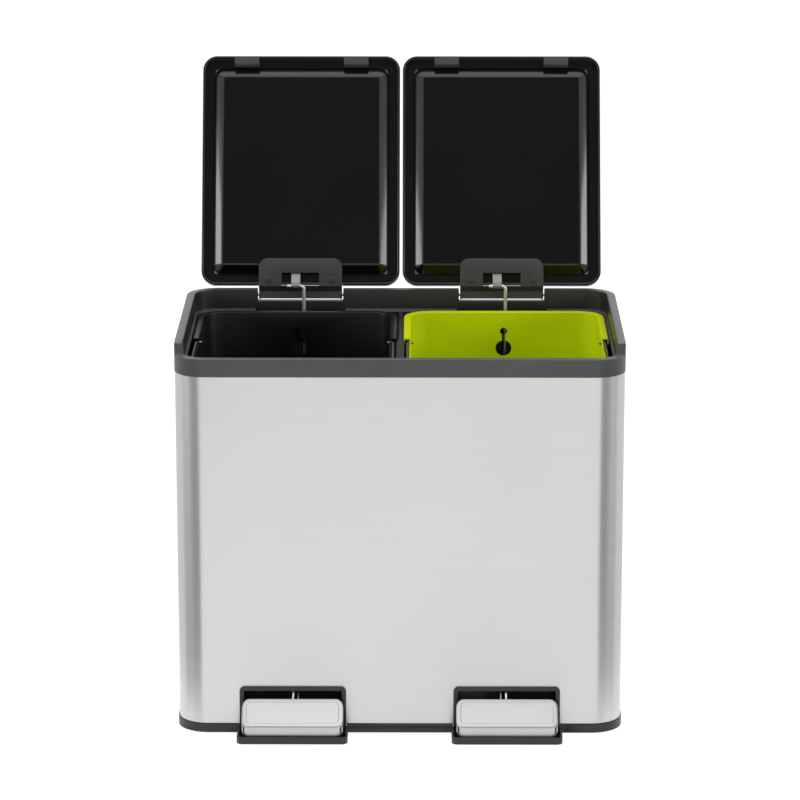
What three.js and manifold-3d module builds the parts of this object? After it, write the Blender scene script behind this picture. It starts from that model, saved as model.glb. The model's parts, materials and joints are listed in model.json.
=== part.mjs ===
// Double recycling bin: a brushed steel cabinet with a moulded rim and base, two lift-out buckets
// with bail handles, and two hinged lids, each raised by its own step pedal through a lever and a rod.
//
// Millimetres, +Z up. The origin is on the floor under the middle of the cabinet, and the front faces -Y.
// The bin stands as it is pictured: both lids open and both pedals down.

import * as THREE from 'three';
import { mergeVertices } from 'three/addons/utils/BufferGeometryUtils.js';
import Module from 'manifold-3d';

const wasm = await Module();
wasm.setup();

// ---- Fits ----
const SEAT_GAP = 0.3;            // between pieces that rest on, or sit inside, each other
const PIN_PLAY = 0.3;            // all round a pin in its bore
const RUN_GAP = 1.5;             // beside a part that swings or lifts out
const BLEED = 1;                 // how far a cutting tool runs past what it cuts

// ---- Cabinet ----
const RIM_WIDTH = 589;
const RIM_DEPTH = 362;
const RIM_TOP = 523.4;           // height of the side and back walls
const RIM_CORNER = 41;           // plan radius of the cabinet's corners
const RIM_WALL = 11.5;
const RIM_BAND = 37.4;           // height of the rim over the steel
const RIM_SKIN = 3;              // thickness of the moulding
const RIM_EDGE = 1.4;            // bevel along the rim's outer edges
const FRONT_DROP = 13.7;         // how far the front wall stands below the sides
const FRONT_STEP_DEPTH = 31;     // from the front to where the side walls step down
const FRONT_STEP_RUN = 4;        // length of that step's slope
const LEDGE_DROP = 26.9;         // from the rim's top down to the inner ledge
const FRONT_LEDGE_DROP = 21.3;   // the same at the front, where the lids come to rest
const FRONT_LEDGE_WIDTH = 16.5;
const SPIGOT_LENGTH = 18;        // part of the rim that plugs into the steel
const SPIGOT_WALL = 2.5;

const STEEL = 0.8;
const STEEL_INSET = 0.5;         // the steel lies this far inside the rim's outline
const PLINTH_HEIGHT = 13;
const PLINTH_PROUD = 1;          // the plinth stands this far outside the rim's outline
const PLINTH_EDGE = 1;
const BASE_CLEAR = 0.8;          // the plinth stays this far off the floor, on its feet
const BASE_DECK = 53;            // top of the deck that the buckets stand on
const BASE_SKIN = 3;

const FOOT_RADIUS = 13;
const FOOT_HEIGHT = 3.2;
const FOOT_STEM_RADIUS = 4;
const FOOT_STEM = 9;
const FOOT_INSET_X = 44.5;        // from the cabinet's sides
const FOOT_INSET_Y = 46;         // from the cabinet's front and back
const FOOT_EDGE = 1;
const POST_RADIUS = 15;

// ---- Lids and hinges ----
const LID_GAP = 3.8;             // between the two lids
const LID_SIDE_PLAY = 6.8;       // from the rim's wall to the shut lid's side
const LID_FRONT_PLAY = 7.5;      // from the rim's wall to the shut lid's front edge
const LID_CORNER = 20;
const LID_WALL = 3.5;
const LID_LIP = 10.5;            // from the hinge pin's height down to the lid's lower edge
const LID_RISE = 4.5;            // from the hinge pin's height up to the lid's top
const LID_EDGE = 1.2;
const LID_FLANGE = 3;
const LID_FLANGE_WIDTH = 24;
const LID_OPEN = 112;            // degrees from shut to open
const LINER_MARGIN = 15;         // from the lid's edge to the raised liner
const LINER_BEVEL = 12;
const LINER_SKIN = 2;
const PANEL_MARGIN = 2.2;
const PANEL_STEEL = 1.2;
const PANEL_CROWN = 2.2;
const PANEL_CROWN_RUN = 60;

const PIN_DROP = 8.2;            // from the rim's top down to the hinge pins
const PIN_INSET = 8;             // from the cabinet's back to the hinge pins
const PIN_RADIUS = 2;
const PIN_GRIP = 7;              // length of a pin inside the rim
const HINGE_SETBACK = 12;        // from the pins to the shut lid's back edge
const HINGE_WIDTH = 115;
const HINGE_PLATE = 1.6;
const HINGE_REACH = 49;          // from the pins along the lid
const HINGE_TAIL = 6;            // from the pins backwards
const HINGE_CORNER = 12.5;
const HINGE_EAR_RADIUS = 5.6;
const HINGE_EAR = 3;
const HINGE_STEP_FROM = 10;      // the plate steps up to the pins between these distances
const HINGE_STEP_TO = 4;
const HINGE_TAIL_DROP = 4.6;     // from the pins down to the tail's lower face
const WINDOW_WIDTH = 52;
const WINDOW_NEAR = 7.6;         // the window's edges, measured from the pins
const WINDOW_FAR = 28.7;
const NOTCH_PLAY = 1.5;          // beside the hinge plate in the rim's notch
const SWING_PLAY = 0.45;         // under the plate's tail as it swings
const LEDGE_NOTCH_PLAY = 4.5;    // beside the hinge plate in the ledge

const SCREW_INSET = 13.5;        // from the hinge plate's sides
const SCREW_ALONG = 18.5;        // from the pins
const SCREW_HEAD_RADIUS = 4;
const SCREW_HEAD = 1.6;
const SCREW_RADIUS = 1.9;
const SCREW_LENGTH = 9;
const BOSS_WALL = 2.8;

const BUMPER_WIDTH = 34;
const BUMPER_SPACING = 152;
const BUMPER_FACE = 2;
const BUMPER_BACKSET = 2;        // from the lid's front edge
const BUMPER_DEPTH = 12.4;

// ---- Lifting gear ----
const ROD_RADIUS = 2.5;
const ROD_BEND = 4.5;
const ROD_SIDE = 5;              // from the lid's middle to the rod
const ROD_HOOK = 23;             // length of the upper hook
const EYE_FORWARD = 13.5;        // from the pins to the eye, with the lid open
const EYE_ABOVE = 15;
const EYE_WALL = 1.5;
const EYE_WIDTH = 12.4;
const EYE_SIDE = -6.3;           // from the lid's middle
const STRAP = 1.6;
const STRAP_TAIL = 7;            // part of the strap that is clamped behind the plate

const LEVER_PIVOT_DEPTH = 92;    // from the cabinet's front to the lever's axle
const LEVER_PIVOT_HEIGHT = 26;
const LEVER_THICK = 5;
const LEVER_REAR_HEIGHT = 43;    // of the rod's lower hook, pedal down
const LEVER_ABOVE = 6.2;         // bar above and below the hook's height
const LEVER_BELOW = 8;
const LEVER_TAIL = 5;
const LEVER_NOSE = 26;           // length of bar inside the pedal
const LEVER_NOSE_BELOW = 1;      // bar below its middle line at the tip of the nose
const LEVER_NECK_BELOW = 6;      // the same where the bar enters the pedal
const SLOT_ABOVE = 3.2;
const SLOT_BELOW = 5.2;
const SLOT_END = 1.2;
const AXLE_RADIUS = 3;
const AXLE_LENGTH = 34;
const LUG = 4;
const LUG_RADIUS = 9;
const LUG_SPREAD = 3.2;          // from the lever's side to each lug

// ---- Pedals ----
const PEDAL_OUTWARD = 2.45;      // from the lid's middle out to the pedal's middle
const PEDAL_WIDTH = 134;
const PEDAL_DEPTH = 35.5;        // seen from above
const PEDAL_HEIGHT = 13;         // of the pad's front
const PEDAL_CORNER = 6;
const PEDAL_EDGE = 1.6;
const PEDAL_STEEL = 1.2;
const PEDAL_TILT = 38.4;         // degrees, pedal down
const PEDAL_STANDOFF = 6;        // from the cabinet's front to the pad's back edge
const PEDAL_BACK_HEIGHT = 50.3;
const PEDAL_BORDER = 6.5;
const PEDAL_EMBOSS = 0.7;
const PEDAL_CORE_LIFT = 1;       // how far the core ends above the steel's lower edge

const BEZEL_WIDTH = 141;
const BEZEL_TOP = 64.6;
const BEZEL_FRAME = 5.8;
const BEZEL_PROUD = 1.5;
const BEZEL_CORNER = 7;
const TUNNEL_DEPTH = 34;
const TRAY_WIDTH = 146;
const TRAY_REACH = 48.5;
const TRAY_FLOOR = 2.6;
const TRAY_LIP = 9;
const TRAY_WALL = 3;
const TRAY_CORNER = 8;

// ---- Buckets ----
const SIDE_LEDGE = 14.7;         // from the cabinet's side to the well that the buckets hang in
const BACK_LEDGE = 30.9;         // from the cabinet's back to the well
const BUCKET_GAP = 24.6;         // between the two buckets' walls
const BUCKET_TOP_DROP = 24.9;    // from the rim's top
const BUCKET_TAPER = 9;          // each side, top to bottom
const BUCKET_WALL = 2;
const BUCKET_FLOOR = 2.5;
const BUCKET_CORNER = 28;
const FLANGE_WIDTH = 8;
const FLANGE_THICK = 2;
const FLANGE_SKIRT = 8;
const FLANGE_SKIRT_WALL = 1.5;
const FLANGE_END = 164;          // from the cabinet's front to where the flange stops
const KEYHOLE_SMALL_RADIUS = 5;
const KEYHOLE_BIG_RADIUS = 11;
const KEYHOLE_SMALL_DROP = 26.7; // from the bucket's top
const KEYHOLE_SPACING = 24;
const KEYHOLE_NECK = 4.5;
const BAIL_RADIUS = 2;
const BAIL_BEND = 16;
const BAIL_DROP = 5;             // from the bucket's top to the wire
const BAIL_HOOK = 5;             // end of the wire inside the bucket

const BAR_WIDTH = 6;
const BAR_CAP_WIDTH = 11;
const BAR_HEIGHT = 18;
const BAR_CAP_HEIGHT = 10;

// ---- Derived places ----
const FRONT = -RIM_DEPTH / 2;
const BACK = RIM_DEPTH / 2;
const RIM_BOTTOM = RIM_TOP - RIM_BAND;
const RIM_FRONT_TOP = RIM_TOP - FRONT_DROP;
const LEDGE = RIM_TOP - LEDGE_DROP;
const FRONT_LEDGE = RIM_TOP - FRONT_LEDGE_DROP;
const BUCKET_TOP = RIM_TOP - BUCKET_TOP_DROP;
const BUCKET_BOTTOM = BASE_DECK + SEAT_GAP;
const WELL_WIDTH = RIM_WIDTH - 2 * SIDE_LEDGE;
const WELL_FRONT = FRONT + RIM_WALL + FRONT_LEDGE_WIDTH;
const WELL_BACK = BACK - BACK_LEDGE;
const BUCKET_WIDTH = (WELL_WIDTH - 2 * (RUN_GAP + FLANGE_WIDTH) - BUCKET_GAP) / 2;
const BUCKET_FRONT = WELL_FRONT + RUN_GAP + 2 * (BAIL_RADIUS + SEAT_GAP);
const BUCKET_BACK = WELL_BACK - RUN_GAP - FLANGE_WIDTH;
const BUCKET_DEPTH = BUCKET_BACK - BUCKET_FRONT;
const BUCKET_MIDDLE = (BUCKET_FRONT + BUCKET_BACK) / 2;
const DECK_UNDER = BASE_DECK - BASE_SKIN;
const SPIGOT_INSET = STEEL_INSET + STEEL + SEAT_GAP;
const PIN_Y = BACK - PIN_INSET;
const PIN_Z = RIM_TOP - PIN_DROP;
const LID_WIDTH = (RIM_WIDTH - 2 * (RIM_WALL + LID_SIDE_PLAY) - LID_GAP) / 2;
const LID_LENGTH = RIM_DEPTH - RIM_WALL - LID_FRONT_PLAY - HINGE_SETBACK - PIN_INSET;
const LID_X = (LID_GAP + LID_WIDTH) / 2;
const BUCKET_X = (BUCKET_GAP + BUCKET_WIDTH) / 2;
const PEDAL_X = LID_X + PEDAL_OUTWARD;
const FOOT_X = RIM_WIDTH / 2 - FOOT_INSET_X;
const FOOT_Y = RIM_DEPTH / 2 - FOOT_INSET_Y;
const EYE_Y = PIN_Y - EYE_FORWARD;
const EYE_Z = PIN_Z + EYE_ABOVE;
const LEVER_Y = FRONT + LEVER_PIVOT_DEPTH;
const LEVER_Z = LEVER_PIVOT_HEIGHT;
const SIDES = [['left', -1], ['right', 1]];

const radians = THREE.MathUtils.degToRad;

// ---- Finishes ----
const finish = {
  steel: [0xc9cacb, 0.32, 0.95],
  darkSteel: [0x3a3b3d, 0.5, 0.7],
  zinc: [0xb4b6b8, 0.4, 0.9],
  rimPlastic: [0x3f4042, 0.45, 0],
  blackPlastic: [0x141415, 0.35, 0],
  glossPlastic: [0x0b0b0c, 0.12, 0],
  limePlastic: [0xb9cf00, 0.35, 0],
  rubber: [0x2b2b2c, 0.8, 0],
};

function material(name) {
  const [color, roughness, metalness] = finish[name];
  return new THREE.MeshStandardMaterial({ color, roughness, metalness });
}

// ---- Solids ----
function solid(geometry) {
  const bare = geometry.index ? geometry.toNonIndexed() : geometry.clone();
  bare.deleteAttribute('normal');
  bare.deleteAttribute('uv');
  const merged = mergeVertices(bare, 1e-4);
  const mesh = new wasm.Mesh({
    numProp: 3,
    vertProperties: new Float32Array(merged.attributes.position.array),
    triVerts: new Uint32Array(merged.index.array),
  });
  return new wasm.Manifold(mesh);
}

function joined(...pieces) {
  return pieces.reduce((whole, piece) => whole.add(piece));
}

function cut(whole, ...tools) {
  return tools.reduce((left, tool) => left.subtract(tool), whole);
}

function geometryOf(body) {
  const mesh = body.getMesh();
  const geometry = new THREE.BufferGeometry();
  const corners = new Float32Array(mesh.numVert * 3);
  for (let i = 0; i < mesh.numVert; i += 1) {
    for (let k = 0; k < 3; k += 1) {
      corners[3 * i + k] = mesh.vertProperties[i * mesh.numProp + k];
    }
  }
  geometry.setAttribute('position', new THREE.BufferAttribute(corners, 3));
  geometry.setIndex(new THREE.BufferAttribute(new Uint32Array(mesh.triVerts), 1));
  return geometry;
}

function piece(name, body, finishName) {
  const geometry = geometryOf(body);
  geometry.computeVertexNormals();
  const mesh = new THREE.Mesh(geometry, material(finishName));
  mesh.name = name;
  return mesh;
}

// A box between two corners.
function block(x0, x1, y0, y1, z0, z1) {
  const geometry = new THREE.BoxGeometry(x1 - x0, y1 - y0, z1 - z0);
  geometry.translate((x0 + x1) / 2, (y0 + y1) / 2, (z0 + z1) / 2);
  return solid(geometry);
}

// A round bar along X.
function barX(radius, x0, x1, y, z, steps = 16) {
  const geometry = new THREE.CylinderGeometry(radius, radius, x1 - x0, steps);
  geometry.rotateZ(Math.PI / 2);
  geometry.translate((x0 + x1) / 2, y, z);
  return solid(geometry);
}

// A round bar along Z.
function barZ(radius, x, y, z0, z1, steps = 12) {
  const geometry = new THREE.CylinderGeometry(radius, radius, z1 - z0, steps);
  geometry.rotateX(Math.PI / 2);
  geometry.translate(x, y, (z0 + z1) / 2);
  return solid(geometry);
}

// A side view, drawn as points [y, z], drawn out along X.
function profileX(points, x0, x1) {
  const shape = new THREE.Shape(points.map(([y, z]) => new THREE.Vector2(y, z)));
  const geometry = new THREE.ExtrudeGeometry(shape, { depth: x1 - x0, bevelEnabled: false });
  // the shape's own axes (x, y, depth) become (Y, Z, X)
  geometry.applyMatrix4(new THREE.Matrix4().makeBasis(
    new THREE.Vector3(0, 1, 0), new THREE.Vector3(0, 0, 1), new THREE.Vector3(1, 0, 0)));
  geometry.translate(x0, 0, 0);
  return solid(geometry);
}

// A round bar bent along straight runs, with rounded bends.
function bentBar(points, radius, bend, sides) {
  const path = new THREE.CurvePath();
  const stops = points.map((p) => new THREE.Vector3(...p));
  let from = stops[0];
  for (let i = 1; i < stops.length - 1; i += 1) {
    const before = stops[i].clone().addScaledVector(stops[i - 1].clone().sub(stops[i]).normalize(), bend);
    const after = stops[i].clone().addScaledVector(stops[i + 1].clone().sub(stops[i]).normalize(), bend);
    path.add(new THREE.LineCurve3(from, before));
    path.add(new THREE.QuadraticBezierCurve3(before, stops[i], after));
    from = after;
  }
  path.add(new THREE.LineCurve3(from, stops[stops.length - 1]));
  return { path, radius, sides };
}

// The rings of a bent bar are set by hand, so that straight runs take one step and bends take several.
function barAlong({ path, radius, sides }, bendSteps = 6) {
  const stations = [];
  for (const run of path.curves) {
    const steps = run.isLineCurve3 ? 1 : bendSteps;
    for (let i = stations.length ? 1 : 0; i <= steps; i += 1) {
      stations.push({ at: run.getPoint(i / steps), along: run.getTangent(i / steps).normalize() });
    }
  }
  const rings = [];
  let up = Math.abs(stations[0].along.z) > 0.9 ? new THREE.Vector3(0, 1, 0) : new THREE.Vector3(0, 0, 1);
  for (const { at, along } of stations) {
    const side = new THREE.Vector3().crossVectors(up, along).normalize();
    up = new THREE.Vector3().crossVectors(along, side).normalize();
    const ring = [];
    for (let k = 0; k < sides; k += 1) {
      const angle = (2 * Math.PI * k) / sides;
      ring.push(at.clone()
        .addScaledVector(side, radius * Math.cos(angle))
        .addScaledVector(up, radius * Math.sin(angle)));
    }
    rings.push(ring);
  }
  return loft(rings);
}

// A closed skin through rings with equally many points, counter-clockwise about the way they run.
function loft(rings) {
  const count = rings[0].length;
  const corners = rings.flat();
  const faces = [];
  for (let r = 0; r + 1 < rings.length; r += 1) {
    for (let i = 0; i < count; i += 1) {
      const a = r * count + i;
      const b = r * count + ((i + 1) % count);
      faces.push(a, b, b + count, a, b + count, a + count);
    }
  }
  const last = (rings.length - 1) * count;
  for (let i = 1; i + 1 < count; i += 1) {
    faces.push(0, i + 1, i);
    faces.push(last, last + i, last + i + 1);
  }
  const geometry = new THREE.BufferGeometry().setFromPoints(corners);
  geometry.setIndex(faces);
  return solid(geometry);
}

// A rounded rectangle in plan. Every one has equally many points, whatever its radius.
function outline({ x = 0, y = 0, width, depth, corner }, inset, z, steps = 8) {
  const radius = Math.max(corner - inset, 0.2);
  const halfWidth = width / 2 - inset - radius;
  const halfDepth = depth / 2 - inset - radius;
  const ring = [];
  for (let quarter = 0; quarter < 4; quarter += 1) {
    const cx = x + (quarter === 0 || quarter === 3 ? halfWidth : -halfWidth);
    const cy = y + (quarter < 2 ? halfDepth : -halfDepth);
    for (let i = 0; i <= steps; i += 1) {
      const angle = (Math.PI / 2) * (quarter + i / steps);
      ring.push(new THREE.Vector3(cx + radius * Math.cos(angle), cy + radius * Math.sin(angle), z));
    }
  }
  return ring;
}

// Stacks a rounded rectangle through levels [inset, z], from the bottom up.
function stack(plan, levels, steps) {
  return loft(levels.map(([inset, z]) => outline(plan, inset, z, steps)));
}

// A slab of a rounded rectangle, with bevels along its lower and upper edges.
function slab(plan, inset, z0, z1, lowEdge = 0, highEdge = 0) {
  const levels = [[inset, z0 + lowEdge], [inset, z1 - highEdge]];
  if (lowEdge) levels.unshift([inset + lowEdge, z0]);
  if (highEdge) levels.push([inset + highEdge, z1]);
  return stack(plan, levels);
}

const cabinetPlan = { width: RIM_WIDTH, depth: RIM_DEPTH, corner: RIM_CORNER };
const wellPlan = {
  width: WELL_WIDTH,
  depth: WELL_BACK - WELL_FRONT,
  y: (WELL_BACK + WELL_FRONT) / 2,
  corner: BUCKET_CORNER,
};

// ---- Cabinet pieces ----
function bodyShell() {
  const low = PLINTH_HEIGHT + SEAT_GAP;
  const high = RIM_BOTTOM - SEAT_GAP;
  let shell = cut(
    slab(cabinetPlan, STEEL_INSET, low, high),
    slab(cabinetPlan, STEEL_INSET + STEEL, low - BLEED, high + BLEED),
  );
  for (const [, side] of SIDES) {
    const half = BEZEL_WIDTH / 2 - BEZEL_FRAME / 2;
    shell = cut(shell, block(side * PEDAL_X - half, side * PEDAL_X + half,
      FRONT - BLEED, FRONT + RIM_CORNER / 2, 0, BEZEL_TOP - BEZEL_FRAME / 2));
  }
  return shell;
}

function hingeNotches(side) {
  const x = side * LID_X;
  const wide = HINGE_WIDTH / 2 + NOTCH_PLAY;
  const sweep = Math.hypot(HINGE_TAIL, HINGE_TAIL_DROP) + SWING_PLAY;
  const ledgeWide = HINGE_WIDTH / 2 + LEDGE_NOTCH_PLAY;
  const grip = wide + PIN_GRIP + BLEED;
  return joined(
    block(x - wide, x + wide, PIN_Y - 2 * PIN_INSET, BACK + BLEED, PIN_Z - sweep, RIM_TOP + BLEED),
    block(x - ledgeWide, x + ledgeWide, WELL_BACK - BLEED, BACK - RIM_WALL,
      RIM_BOTTOM - SPIGOT_LENGTH - BLEED, LEDGE + BLEED),
    barX(PIN_RADIUS + PIN_PLAY, x - grip, x + grip, PIN_Y, PIN_Z),
  );
}

function topRim() {
  const spigotLow = RIM_BOTTOM - SPIGOT_LENGTH;
  const hinged = HINGE_WIDTH / 2 + NOTCH_PLAY + PIN_GRIP + 3 * RIM_SKIN;
  const ring = joined(
    slab(cabinetPlan, 0, RIM_BOTTOM, RIM_TOP, RIM_EDGE, RIM_EDGE),
    slab(cabinetPlan, SPIGOT_INSET, spigotLow, RIM_BOTTOM + BLEED),
  );
  // the room above the ledge, where the shut lids lie
  const lidRoom = cut(
    slab(cabinetPlan, RIM_WALL, LEDGE, RIM_TOP + BLEED),
    block(-RIM_WIDTH, RIM_WIDTH, FRONT, WELL_FRONT + BLEED, LEDGE - BLEED, FRONT_LEDGE),
  );
  // the moulding is hollow from below, around the well and up inside the walls
  const wellWall = slab(wellPlan, -RIM_SKIN, spigotLow - 2 * BLEED, LEDGE + BLEED);
  const under = cut(
    slab(cabinetPlan, SPIGOT_INSET + SPIGOT_WALL, spigotLow - BLEED, LEDGE - RIM_SKIN), wellWall);
  const insideWalls = cut(
    slab(cabinetPlan, RIM_SKIN, RIM_BOTTOM + RIM_SKIN, RIM_FRONT_TOP - RIM_SKIN),
    slab(cabinetPlan, RIM_WALL - RIM_SKIN, RIM_BOTTOM, RIM_TOP),
    ...SIDES.map(([, side]) => block(side * LID_X - hinged, side * LID_X + hinged,
      0, BACK, RIM_BOTTOM, RIM_TOP)),
  );
  const frontStep = profileX([
    [FRONT - BLEED, RIM_FRONT_TOP],
    [FRONT + FRONT_STEP_DEPTH, RIM_FRONT_TOP],
    [FRONT + FRONT_STEP_DEPTH + FRONT_STEP_RUN, RIM_TOP + BLEED],
    [FRONT - BLEED, RIM_TOP + BLEED],
  ], -RIM_WIDTH, RIM_WIDTH);
  return cut(ring, lidRoom, slab(wellPlan, 0, spigotLow - 2 * BLEED, RIM_TOP),
    under, insideWalls, frontStep, ...SIDES.map(([, side]) => hingeNotches(side)));
}

// The bar between the buckets, which ties the rim's front to its back.
function centreBar() {
  const from = WELL_FRONT + SEAT_GAP;
  const to = WELL_BACK - SEAT_GAP;
  const capEnd = FRONT + FLANGE_END - RUN_GAP;
  const top = LEDGE - SEAT_GAP;
  return joined(
    block(-BAR_WIDTH / 2, BAR_WIDTH / 2, from, to, top - BAR_HEIGHT, top),
    block(-BAR_CAP_WIDTH / 2, BAR_CAP_WIDTH / 2, from, capEnd, top - BAR_CAP_HEIGHT, top),
  );
}

function feetPlaces() {
  return [
    ['front_left', -FOOT_X, -FOOT_Y],
    ['front_right', FOOT_X, -FOOT_Y],
    ['rear_left', -FOOT_X, FOOT_Y],
    ['rear_right', FOOT_X, FOOT_Y],
    ['centre', 0, 0],
  ];
}

function leverX(side) {
  return side * LID_X + ROD_SIDE - ROD_RADIUS - 2 * SEAT_GAP - LEVER_THICK / 2;
}

function rodX(side) {
  return side * LID_X + ROD_SIDE;
}

function basePan() {
  let pan = joined(
    slab(cabinetPlan, -PLINTH_PROUD, BASE_CLEAR, PLINTH_HEIGHT, 0, PLINTH_EDGE),
    slab(cabinetPlan, SPIGOT_INSET, BASE_CLEAR, BASE_DECK),
  );
  pan = cut(pan, slab(cabinetPlan, SPIGOT_INSET + BASE_SKIN, -BLEED, DECK_UNDER));
  for (const [, x, y] of feetPlaces()) {
    pan = joined(pan, barZ(POST_RADIUS, x, y, FOOT_HEIGHT + SEAT_GAP, DECK_UNDER + BLEED));
    pan = cut(pan, barZ(FOOT_STEM_RADIUS + SEAT_GAP, x, y, 0, FOOT_HEIGHT + FOOT_STEM + SEAT_GAP));
  }
  for (const [, side] of SIDES) {
    const x = leverX(side);
    const gap = LEVER_THICK / 2 + LUG_SPREAD;
    for (const hand of [-1, 1]) {
      const [a, b] = [x + hand * gap, x + hand * (gap + LUG)].sort((p, q) => p - q);
      pan = joined(pan,
        block(a, b, LEVER_Y - LUG_RADIUS, LEVER_Y + LUG_RADIUS, LEVER_Z, DECK_UNDER + BLEED),
        barX(LUG_RADIUS, a, b, LEVER_Y, LEVER_Z));
    }
    pan = cut(pan,
      barX(AXLE_RADIUS + PIN_PLAY, x - AXLE_LENGTH, x + AXLE_LENGTH, LEVER_Y, LEVER_Z),
      block(rodX(side) - ROD_HOOK, rodX(side) + 3 * ROD_RADIUS,
        PIN_Y - PIN_INSET - 3 * ROD_BEND - LEVER_TAIL, BACK - SPIGOT_INSET - BASE_SKIN - BLEED,
        DECK_UNDER - BLEED, BASE_DECK + BLEED),
      block(side * PEDAL_X - BEZEL_WIDTH / 2 - SEAT_GAP, side * PEDAL_X + BEZEL_WIDTH / 2 + SEAT_GAP,
        FRONT - 2 * PLINTH_PROUD, FRONT + RIM_CORNER / 2, -BLEED, PLINTH_HEIGHT + BLEED),
      block(side * PEDAL_X - BEZEL_WIDTH / 2 + BEZEL_FRAME / 2,
        side * PEDAL_X + BEZEL_WIDTH / 2 - BEZEL_FRAME / 2,
        FRONT - 2 * PLINTH_PROUD, FRONT + TUNNEL_DEPTH + RUN_GAP, -BLEED, BASE_DECK + BLEED));
  }
  return pan;
}

function foot(x, y) {
  const profile = [
    [0, 0],
    [FOOT_RADIUS - FOOT_EDGE, 0],
    [FOOT_RADIUS, FOOT_EDGE],
    [FOOT_RADIUS, FOOT_HEIGHT],
    [FOOT_STEM_RADIUS, FOOT_HEIGHT],
    [FOOT_STEM_RADIUS, FOOT_HEIGHT + FOOT_STEM],
    [0, FOOT_HEIGHT + FOOT_STEM],
  ].map(([radius, z]) => new THREE.Vector2(radius, z));
  const geometry = new THREE.LatheGeometry(profile, 16);
  geometry.rotateX(Math.PI / 2);
  geometry.translate(x, y, 0);
  return solid(geometry);
}

// ---- Pedals ----
// The moulded housing of one pedal: a bezel on the steel, a tunnel behind it and a tray in front.
function pedalHousing(side) {
  const x = side * PEDAL_X;
  const half = BEZEL_WIDTH / 2;
  const inner = half - BEZEL_FRAME;
  const tunnel = half - BEZEL_FRAME / 2 - SEAT_GAP;
  const tunnelTop = BEZEL_TOP - BEZEL_FRAME / 2 - SEAT_GAP;
  const faceFront = FRONT - BEZEL_PROUD;
  const faceBack = FRONT + STEEL_INSET - SEAT_GAP;
  const trayBack = FRONT - PLINTH_PROUD - SEAT_GAP;
  const face = new THREE.Shape();
  face.moveTo(-half, BASE_CLEAR);
  face.lineTo(half, BASE_CLEAR);
  face.lineTo(half, BEZEL_TOP - BEZEL_CORNER);
  face.absarc(half - BEZEL_CORNER, BEZEL_TOP - BEZEL_CORNER, BEZEL_CORNER, 0, Math.PI / 2);
  face.lineTo(-half + BEZEL_CORNER, BEZEL_TOP);
  face.absarc(-half + BEZEL_CORNER, BEZEL_TOP - BEZEL_CORNER, BEZEL_CORNER, Math.PI / 2, Math.PI);
  const bezel = new THREE.ExtrudeGeometry(face, {
    depth: faceBack - faceFront, bevelEnabled: false, curveSegments: 5 });
  bezel.rotateX(Math.PI / 2);
  bezel.translate(x, faceBack, 0);
  const trayPlan = {
    x,
    y: FRONT - TRAY_REACH / 2 + TRAY_CORNER / 2,
    width: TRAY_WIDTH,
    depth: TRAY_REACH + TRAY_CORNER,
    corner: TRAY_CORNER,
  };
  const tray = cut(
    slab(trayPlan, 0, BASE_CLEAR, BASE_CLEAR + TRAY_LIP, 0, BLEED),
    slab(trayPlan, TRAY_WALL, BASE_CLEAR + TRAY_FLOOR, BASE_CLEAR + TRAY_LIP + BLEED),
    block(x - TRAY_WIDTH, x + TRAY_WIDTH, trayBack, trayBack + TRAY_REACH, -BLEED, BEZEL_TOP),
  );
  const box = block(x - tunnel, x + tunnel, faceBack - BLEED, FRONT + TUNNEL_DEPTH, BASE_CLEAR, tunnelTop);
  const room = block(x - inner, x + inner, faceFront - BLEED, FRONT + TUNNEL_DEPTH + BLEED,
    BASE_CLEAR + TRAY_FLOOR, BEZEL_TOP - BEZEL_FRAME);
  return cut(joined(solid(bezel), box, tray), room);
}

// The pad is drawn level, with its back edge's middle at the origin, and then slanted into place.
const padPlan = {
  y: -PEDAL_DEPTH / 2, width: PEDAL_WIDTH, depth: PEDAL_DEPTH, corner: PEDAL_CORNER,
};

// Slanting tilts the top and leaves the pad's front, sides and back upright.
function placedPad(body, side) {
  const rise = Math.tan(radians(PEDAL_TILT));
  return body.transform([
    1, 0, 0, 0,
    0, 1, rise, 0,
    0, 0, 1, 0,
    side * PEDAL_X, FRONT - PEDAL_STANDOFF, PEDAL_BACK_HEIGHT, 1,
  ]);
}

function pedalCover(side) {
  const cover = cut(
    slab(padPlan, 0, -PEDAL_HEIGHT, 0, 0, PEDAL_EDGE),
    slab(padPlan, PEDAL_STEEL, -PEDAL_HEIGHT - BLEED, -PEDAL_STEEL - PEDAL_EMBOSS),
    stack(padPlan, [[PEDAL_BORDER + PEDAL_EMBOSS, -PEDAL_EMBOSS], [PEDAL_BORDER, BLEED / 2]]),
  );
  return placedPad(cover, side);
}

// The lever's side view: a straight bar from the pedal back to the rod, pinned at the axle.
function leverLine(y) {
  const slope = (LEVER_REAR_HEIGHT - LEVER_Z) / (slotMiddle() - LEVER_Y);
  return LEVER_Z + slope * (y - LEVER_Y);
}

function rodReach() {
  // the eye swings about the pins, so the rod is foremost when they are level with each other
  const swing = Math.hypot(EYE_FORWARD, EYE_ABOVE);
  const shut = radians(LID_OPEN);
  const shutForward = EYE_FORWARD * Math.cos(shut) + EYE_ABOVE * Math.sin(shut);
  return { front: PIN_Y - swing, back: PIN_Y - Math.min(EYE_FORWARD, shutForward) };
}

function slotMiddle() {
  const { front, back } = rodReach();
  return (front + back) / 2;
}

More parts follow.
